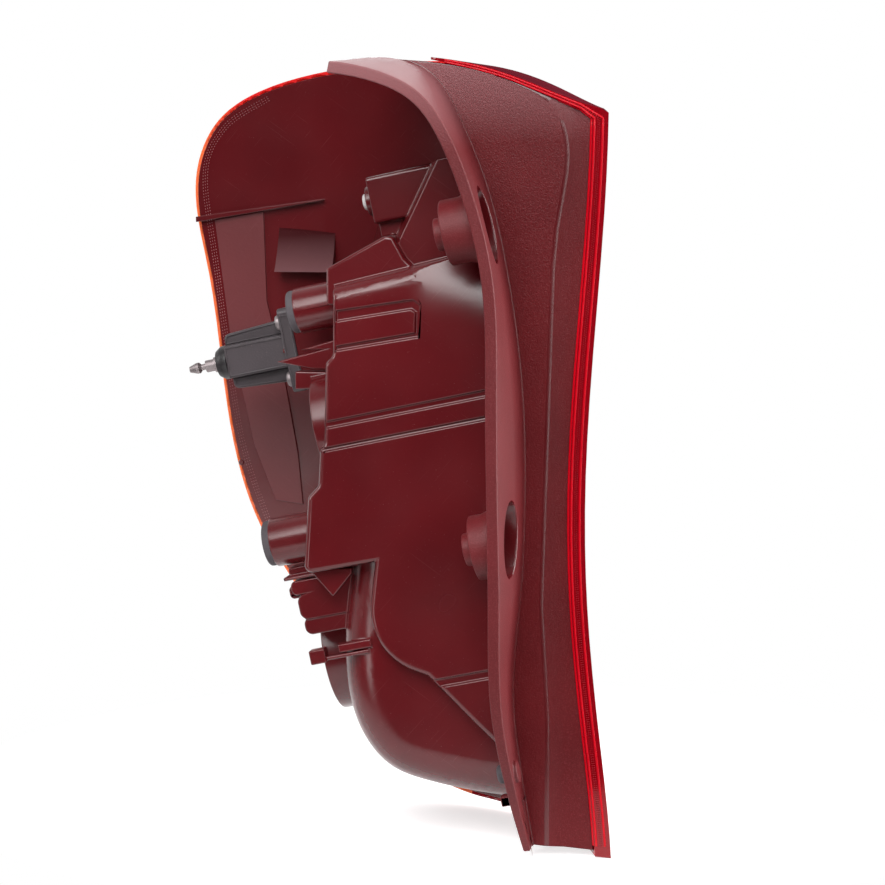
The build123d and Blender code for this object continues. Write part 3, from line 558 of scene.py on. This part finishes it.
def rounded(skin, name, width, angle):
    """Piece made of a skin, with its sharp edges rounded, those of the thin wing less than the rest."""
    shares = skin.edges.layers.float.new("bevel_weight_edge")
    for edge in skin.edges:
        if edge.is_manifold and edge.calc_face_angle() > math.radians(angle):
            on_wing = min(vert.co.y for vert in edge.verts) > WING_DEPTH * MM
            edge[shares] = WING_ROUND if on_wing else 1.0
    mesh = bpy.data.meshes.new(name)
    skin.to_mesh(mesh)
    skin.free()
    piece = new_piece(name + "_blank", mesh)
    rounding = piece.modifiers.new("edges", "BEVEL")
    rounding.width = width * MM
    rounding.segments = 3
    rounding.limit_method = "WEIGHT"
    rounding.use_clamp_overlap = False
    flattening = piece.modifiers.new("faces", "WEIGHTED_NORMAL")
    flattening.weight = 60
    flattening.keep_sharp = True
    for face in mesh.polygons:
        face.use_smooth = True
    piece = plain_mesh(piece, name)
    piece.data.materials.clear()
    return piece


def rounded_fitting(name, node_name, width, material):
    """Small fitting with its edges rounded."""
    skin = flat_faced_copy(node_name)
    piece = rounded(skin, name, width, FITTING_CREASE)
    piece.data.materials.append(material)
    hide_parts(node_name)
    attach(piece, "root")


def in_screw_well(face):
    """Whether a face is part of the inside of a screw well."""
    for well in SCREW_WELLS:
        away = face.center / MM - Vector(well)
        near = all(abs(value) < half for value, half in zip(away, WELL_HALF))
        if near and face.normal.x < 0.8 and away.y * face.normal.y + away.z * face.normal.z < 0:
            return True
    return False


def housing_finish(face):
    """Which of the housing's finishes a face has: smooth, flange, wall, satin or ramp."""
    x, y, z = (value / MM for value in face.center)
    if y < FLANK_Y - 0.5:
        # The insides of the screw wells take the darker smooth finish as painted shade
        return SMOOTH if in_screw_well(face) else FLANGE
    if y < FLANK_Y + 6 and x > on_path(FLANGE_FOOT, z) - WALL_BAND:
        on_crest = y < FLANK_Y + 0.6 and 0.02 < face.normal.x < 0.3
        return SMOOTH if on_crest else WALL
    on_wing = y > WING_DEPTH and z < WING_RIB_Z and face.normal.y < -0.5
    on_pad = z > WING_PAD_FOOT and on_path(WING_PAD_LEFT, z) - 0.5 < x < on_path(WING_PAD_RIGHT, z) + 0.5
    on_ramp = RAMP_SIDES[0] < x < RAMP_SIDES[1] and z > RAMP_FOOT and face.normal.z > 0.08
    # The ramp takes the finish with painted shade and a painted highlight
    if on_wing and on_ramp:
        return RAMP
    return SATIN if on_wing and on_pad else SMOOTH


def rounded_housing(*finishes):
    """Housing with its edges rounded and the finish of each face."""
    skin = flat_faced_copy("housing")
    bend_shoulder(skin)
    hollow_ramp(skin)
    bend_crest(skin)
    piece = rounded(skin, "housing_shell", EDGE_ROUND, HOUSING_CREASE)
    for finish in finishes:
        piece.data.materials.append(finish)
    for face in piece.data.polygons:
        face.material_index = housing_finish(face)
    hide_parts("housing")
    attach(piece, "root")
    return piece


def dressed_lens(body, top, rim, inner):
    """Lens with painted shade as a dark edge over the top of the lamp, and painted glow as a bright rim
    round the wing and bright inner faces.
    """
    skin = joined_copy("outer_lens")
    mesh = bpy.data.meshes.new("lens_shell")
    skin.to_mesh(mesh)
    skin.free()
    piece = new_piece("lens_shell", mesh)
    mesh.materials.clear()
    for finish in (body, top, rim, inner):
        mesh.materials.append(finish)
    for face in mesh.polygons:
        face.use_smooth = True
        # Top faces take a dark copy of the red plastic as painted shade
        if face.normal.z > 0.5 and face.center.x > WING_END * MM:
            face.material_index = TOP
        # Rim faces round the wing take a bright orange copy of the lens red as painted glow
        elif face.center.y > WING_DEPTH * MM and face.normal.y < -0.5:
            face.material_index = RIM
        # Inner faces take a bright opaque copy of the lens red as painted glow
        elif face.center.y < (FLANK_Y + 6) * MM and face.normal.x < -0.5:
            face.material_index = INNER
        else:
            face.material_index = BODY
    mesh.set_sharp_from_angle(angle=math.radians(LENS_CREASE))
    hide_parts("outer_lens")
    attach(piece, "root")


def smooth_line(points, steps=10):
    """Even curve through points, as a list of places."""
    ends = [points[0], *points, points[-1]]
    line = []
    for a, b, c, d in zip(ends, ends[1:], ends[2:], ends[3:]):
        for i in range(steps):
            t = i / steps
            line.append(tuple(
                0.5 * (2 * q + (r - p) * t + (2 * p - 5 * q + 4 * r - s) * t * t
                       + (3 * q - p - 3 * r + s) * t ** 3)
                for p, q, r, s in zip(a, b, c, d)
            ))
    line.append(points[-1])
    return line


def set_in(line, distance):
    """Flat line moved sideways, to the right of its direction."""
    moved = []
    for i, (x, z) in enumerate(line):
        before, after = line[max(i - 1, 0)], line[min(i + 1, len(line) - 1)]
        run = math.hypot(after[0] - before[0], after[1] - before[1]) or 1.0
        along, up = (after[0] - before[0]) / run, (after[1] - before[1]) / run
        moved.append((x + distance * up, z - distance * along))
    return moved


def lens_strip():
    """Inner and outer edge of the lens's inboard rim, from the top of the lamp to its foot."""
    skin = joined_copy("outer_lens")
    rim = [f for f in skin.faces if all(abs(v.co.y / MM - FLANK_Y) < 0.02 for v in f.verts)]
    rim_set = set(rim)
    edges = [e for f in rim for e in f.edges if sum(g in rim_set for g in e.link_faces) == 1]
    lines = [[(v.co.x / MM, v.co.z / MM) for v in e.verts] for e in edges]
    skin.free()

    def crossings(level, axis):
        found = []
        for a, b in lines:
            if min(a[axis], b[axis]) <= level < max(a[axis], b[axis]):
                t = (level - a[axis]) / (b[axis] - a[axis])
                found.append(a[1 - axis] + (b[1 - axis] - a[1 - axis]) * t)
        return sorted(found)

    inner, outer = [], []
    for x in STRIP_TOP:
        low, high = crossings(x + STRIP_SHIFT, 0)[-2:]
        inner.append((x + STRIP_SHIFT, low))
        outer.append((x + STRIP_SHIFT, high))
    for z in STRIP_SIDE:
        near, far = crossings(z + STRIP_SHIFT, 1)[:2]
        inner.append((near, z + STRIP_SHIFT))
        outer.append((far, z + STRIP_SHIFT))
    return inner, outer


def path_piece(name, lines):
    """Wire piece along lines of places in millimetres."""
    mesh = bpy.data.meshes.new(name)
    points, edges = [], []
    for line in lines:
        start = len(points)
        points += [[value * MM for value in place] for place in line]
        edges += [(i, i + 1) for i in range(start, len(points) - 1)]
    mesh.from_pydata(points, edges, [])
    return new_piece(name + "_path", mesh)


def row_tree(name, inputs):
    """Empty tree of geometry nodes with named inputs."""
    tree = bpy.data.node_groups.new(name, "GeometryNodeTree")
    tree.interface.new_socket(name="Geometry", in_out="INPUT", socket_type="NodeSocketGeometry")
    for label, kind in inputs:
        tree.interface.new_socket(name=label, in_out="INPUT", socket_type=kind)
    tree.interface.new_socket(name="Geometry", in_out="OUTPUT", socket_type="NodeSocketGeometry")
    return tree, tree.nodes.new("NodeGroupInput"), tree.nodes.new("NodeGroupOutput")


def tooth_row():
    """Row of small blocks along a path, each turned to follow it."""
    tree, given, out = row_tree("tooth_row", [
        ("Spacing", "NodeSocketFloat"), ("Size", "NodeSocketVector"), ("Finish", "NodeSocketMaterial"),
    ])
    curve = node(tree, "GeometryNodeMeshToCurve")
    spaced = node(tree, "GeometryNodeResampleCurve", {"mode": "LENGTH"})
    tangent = node(tree, "GeometryNodeInputTangent")
    turn = node(tree, "FunctionNodeAlignRotationToVector", {"axis": "X"})
    block = node(tree, "GeometryNodeMeshCube")
    spread = node(tree, "FunctionNodeRandomValue", {"data_type": "FLOAT_VECTOR"}, Seed=4)
    spread.inputs["Min"].default_value = (0.8, 0.8, 0.7)
    spread.inputs["Max"].default_value = (1.0, 1.0, 1.0)
    rows = node(tree, "GeometryNodeInstanceOnPoints")
    real = node(tree, "GeometryNodeRealizeInstances")
    finish = node(tree, "GeometryNodeSetMaterial")
    link = tree.links.new
    link(given.outputs["Geometry"], curve.inputs[0])
    link(curve.outputs[0], spaced.inputs["Curve"])
    link(given.outputs["Spacing"], spaced.inputs["Length"])
    link(tangent.outputs[0], turn.inputs["Vector"])
    link(given.outputs["Size"], block.inputs["Size"])
    link(spaced.outputs[0], rows.inputs["Points"])
    link(block.outputs["Mesh"], rows.inputs["Instance"])
    link(turn.outputs[0], rows.inputs["Rotation"])
    link(spread.outputs["Value"], rows.inputs["Scale"])
    link(rows.outputs[0], real.inputs[0])
    link(real.outputs[0], finish.inputs["Geometry"])
    link(given.outputs["Finish"], finish.inputs["Material"])
    link(finish.outputs[0], out.inputs["Geometry"])
    return tree


def rib_along():
    """Flat rib along a path, its broad side facing inboard."""
    tree, given, out = row_tree("rib_along", [
        ("Width", "NodeSocketFloat"), ("Rise", "NodeSocketFloat"), ("Finish", "NodeSocketMaterial"),
    ])
    curve = node(tree, "GeometryNodeMeshToCurve")
    facing = node(tree, "GeometryNodeSetCurveNormal", {"mode": "FREE"}, Normal=(0, -1, 0))
    profile = node(tree, "GeometryNodeCurvePrimitiveQuadrilateral")
    rib = node(tree, "GeometryNodeCurveToMesh", Fill_Caps=True)
    real = node(tree, "GeometryNodeRealizeInstances")
    finish = node(tree, "GeometryNodeSetMaterial")
    link = tree.links.new
    link(given.outputs["Geometry"], curve.inputs[0])
    link(curve.outputs[0], facing.inputs["Curve"])
    link(given.outputs["Rise"], profile.inputs["Width"])
    link(given.outputs["Width"], profile.inputs["Height"])
    link(facing.outputs[0], rib.inputs["Curve"])
    link(profile.outputs[0], rib.inputs["Profile Curve"])
    link(rib.outputs[0], real.inputs[0])
    link(real.outputs[0], finish.inputs["Geometry"])
    link(given.outputs["Finish"], finish.inputs["Material"])
    link(finish.outputs[0], out.inputs["Geometry"])
    return tree


def lay_along(name, tree, lines, slot, **values):
    """Piece that a tree lays along paths."""
    piece = path_piece(name, lines)
    rows = piece.modifiers.new(name, "NODES")
    rows.node_group = tree
    for socket in tree.interface.items_tree:
        if socket.in_out == "INPUT" and socket.name in values:
            rows[socket.identifier] = values[socket.name]
    piece = plain_mesh(piece, name)
    skin = bmesh.new()
    skin.from_mesh(piece.data)
    bmesh.ops.recalc_face_normals(skin, faces=skin.faces)
    skin.to_mesh(piece.data)
    skin.free()
    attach(piece, "root")


def lens_trim(teeth, rib, bright, fluted):
    """Edges and weld seam along the lens, bright red as painted glow, and the fluting between them."""
    inner, outer = lens_strip()
    front = FLANK_Y - 0.15

    def part_way(share):
        return [(a + (c - a) * share, front, b + (d - b) * share) for (a, b), (c, d) in zip(inner, outer)]

    lay_along("lens_bright_edge", rib, [part_way(share) for share in BRIGHT_SHARES], "red_lens",
              Width=1.1 * MM, Rise=0.5 * MM, Finish=bright)
    seam = [(x - 0.4, FLANK_Y + 2.2, z) for x, _, z in part_way(0.0)]
    lay_along("lens_weld_seam", rib, [seam], "red_lens", Width=1.8 * MM, Rise=1.6 * MM, Finish=bright)
    lay_along("lens_fluting", teeth, [part_way(share) for share in FLUTE_SHARES], "red_lens",
              Spacing=1.15 * MM, Size=(0.5 * MM, 0.5 * MM, 0.6 * MM), Finish=fluted)


def wing_trim(housing, teeth, pale):
    """Rows of fine teeth along the border of the wing panel, pale pink as painted glints."""
    panel = surface_of(housing)
    edge = smooth_line(WING_EDGE)
    rows = []
    for inset in WING_TEETH_INSETS:
        row = []
        for x, z in set_in(edge, -inset):
            hit = panel.ray_cast(Vector((x * MM, 0, z * MM)), Vector((0, 1, 0)))[0]
            if hit:
                row.append((x, hit.y / MM - 0.05, z))
        rows.append(row)
    lay_along("wing_border_teeth", teeth, rows, "housing_plastic",
              Spacing=1.7 * MM, Size=(0.7 * MM, 0.4 * MM, 0.35 * MM), Finish=pale)


def inset_loop(points, distance):
    """Closed flat outline moved inwards, for points that run either way round."""
    area = sum(a[0] * b[1] - b[0] * a[1] for a, b in zip(points, points[1:] + points[:1]))
    ring = points if area > 0 else points[::-1]
    moved = []
    for before, here, after in zip(ring[-1:] + ring[:-1], ring, ring[1:] + ring[:1]):
        into = (Vector(here) - Vector(before)).normalized()
        out = (Vector(after) - Vector(here)).normalized()
        inward = Vector((-into.y, into.x)) + Vector((-out.y, out.x))
        moved.append(Vector(here) + inward * distance / max(inward.length_squared / 2, 0.2))
    return [tuple(spot) for spot in moved + moved[:1]]


def bracket_trim(rib, material):
    """Raised rims round the flat faces of the bracket."""
    skin = flat_faced_copy("stud_bracket")
    rims = []
    for face in skin.faces:
        if face.normal.y < -0.99 and face.calc_area() > BRACKET_FACE * MM * MM:
            y = face.calc_center_median().y / MM
            outline = [(vert.co.x / MM, vert.co.z / MM) for vert in face.verts]
            rims.append([(x, y, z) for x, z in inset_loop(outline, BRACKET_RIM)])
    skin.free()
    lay_along("bracket_rims", rib, rims, "black_plastic", Width=0.9 * MM, Rise=1.0 * MM, Finish=material)


def mould_marks(housing, material):
    """Ejector marks and a locating pip left on the housing by its mould."""
    surface = surface_of(housing)
    marks = bmesh.new()
    for x, z, radius, rise, start in MOULD_MARKS:
        hit, normal = surface.ray_cast(Vector((x * MM, start * MM, z * MM)), Vector((0, 1, 0)))[:2]
        if hit is None:
            continue
        turn = normal.to_track_quat("Z", "Y").to_matrix().to_4x4()
        turn.translation = hit
        bmesh.ops.create_cone(marks, cap_ends=True, segments=28, radius1=radius * MM,
                              radius2=(radius - rise / 2) * MM, depth=rise * MM, matrix=turn)
    mesh = bpy.data.meshes.new("mould_marks")
    marks.to_mesh(mesh)
    marks.free()
    piece = new_piece("mould_marks", mesh)
    mesh.materials.append(material)
    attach(piece, "root")


set_camera()
set_world()
set_floor()
bpy.context.scene.view_settings.view_transform = "Standard"
for box in SOFTBOXES:
    softbox(*box)

housing_smooth = moulded("housing_smooth", srgb(77, 9, 15), srgb(92, 14, 20), 0.24, 0.65, 0.04, 420,
                         0.12, 0.2)
# Flange: painted highlight paling it towards the top
flange_grained = moulded("flange_grained", srgb(86, 11, 17), srgb(102, 17, 23), 0.50, 0.38, 0.45, 1500,
                         speckle=0.4, painted_sheen=(0.118, 0.160, 0.4))
# Wall behind the flange: painted highlight paling it towards the top
wall_grained = moulded("wall_grained", srgb(82, 9, 15), srgb(98, 14, 20), 0.38, 0.25, 0.45, 1500,
                       speckle=0.32, painted_sheen=(0.122, 0.166, 0.4))
# Ramp: a tone darker than the rest of the housing as painted shade, and a painted highlight paling it
# towards its foot
ramp_painted_shade_and_sheen = moulded("ramp_painted_shade_and_sheen", srgb(50, 6, 10), srgb(60, 9, 14), 0.5, 0.06, 0.2, 700, 0.1,
                     painted_sheen=(0.069, 0.047, 0.3))
wing_satin = moulded("wing_satin", srgb(86, 13, 19), srgb(100, 19, 25), 0.44, 0.75, 0.2, 700, 0.1)
bracket_black = moulded("bracket_black", srgb(54, 47, 50), srgb(74, 65, 69), 0.42, 0.5, 0.3, 900, 0.0, 0.5)
collar_black = moulded("collar_black", srgb(26, 22, 24), srgb(36, 32, 34), 0.4, 0.5, 0.2, 900)
buffer_rubber = moulded("buffer_rubber", srgb(70, 64, 68), srgb(88, 82, 86), 0.68, 0.3, 0.4, 1400, 0.0, 0.2)
seal_rubber = moulded("seal_rubber", srgb(40, 38, 40), srgb(52, 50, 52), 0.7, 0.25, 0.4, 1400)
holder_grey = moulded("holder_grey", srgb(120, 118, 116), srgb(140, 138, 134), 0.5, 0.35, 0.2, 800)
pad_white = moulded("pad_white", srgb(196, 190, 190), srgb(214, 209, 208), 0.5, 0.35, 0.1, 700)
lens_red = clear_plastic("lens_red", srgb(152, 3, 20), srgb(162, 5, 24), 0.08, 0.35)
# Painted shade: a dark, unglossy copy of the lens red for its top faces
lens_top_painted_shade = moulded("lens_top_painted_shade", srgb(88, 26, 36), srgb(108, 34, 44), 0.6, 0.0, 0.1, 300)
# Painted glow: bright orange-red for the thin rim of the lens
lens_rim_painted_glow = rim_plastic("lens_rim_painted_glow", srgb(232, 30, 34), srgb(255, 108, 62))
# Painted glow: a brighter, opaque copy of the lens red for its inner faces, edges and seam
lens_bright_painted_glow = moulded("lens_bright_painted_glow", srgb(186, 3, 24), srgb(206, 8, 30), 0.3, 0.2, 0.05, 300)
lens_fluted = moulded("lens_fluted", srgb(128, 3, 18), srgb(170, 24, 36), 0.3, 0.3, 0.05, 300)
window_clear = clear_plastic("window_clear", srgb(232, 234, 234), srgb(246, 247, 247), 0.06, 0.95)
window_amber = clear_plastic("window_amber", srgb(226, 110, 8), srgb(240, 140, 20), 0.08, 0.85)
bulb_glass = clear_plastic("bulb_glass", srgb(238, 240, 240), srgb(250, 250, 250), 0.03, 0.95)
stud_steel = metal("stud_steel", srgb(140, 130, 131), srgb(164, 154, 155), 0.46)
sleeve_zinc = metal("sleeve_zinc", srgb(168, 168, 166), srgb(196, 196, 194), 0.3)
terminal_brass = metal("terminal_brass", srgb(186, 150, 78), srgb(206, 170, 98), 0.28)
bowl_mirror = metal("bowl_mirror", srgb(214, 216, 218), srgb(230, 232, 234), 0.06)
# Painted glints: a pale pink for the tiny teeth on the wing's border
wing_teeth_painted_glint = moulded("wing_teeth_painted_glint", srgb(130, 70, 74), srgb(170, 112, 114), 0.4, 0.35, 0.1, 900)

finish_by_ending = {
    "_bulb": bulb_glass,
    "_bulb_holder": holder_grey,
    "_holder_seal": seal_rubber,
    "_terminals": terminal_brass,
    "_reflector": bowl_mirror,
    "_buffer": buffer_rubber,
    "_screw_sleeve": sleeve_zinc,
    "reverse_window": window_clear,
    "indicator_window": window_amber,
    "box_pad": pad_white,
    "locating_stud": stud_steel,
    "bracket_screws": stud_steel,
}
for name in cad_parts:
    for ending, finish in finish_by_ending.items():
        if name.endswith(ending):
            dress(name, finish)

rounded_fitting("bracket_body", "stud_bracket", BRACKET_ROUND, bracket_black)
rounded_fitting("collar_ring", "stud_collar", COLLAR_ROUND, collar_black)
housing = rounded_housing(housing_smooth, flange_grained, wall_grained, wing_satin, ramp_painted_shade_and_sheen)
dressed_lens(lens_red, lens_top_painted_shade, lens_rim_painted_glow, lens_bright_painted_glow)
teeth = tooth_row()
rib = rib_along()
lens_trim(teeth, rib, lens_bright_painted_glow, lens_fluted)
wing_trim(housing, teeth, wing_teeth_painted_glint)
bracket_trim(rib, bracket_black)
mould_marks(housing, housing_smooth)
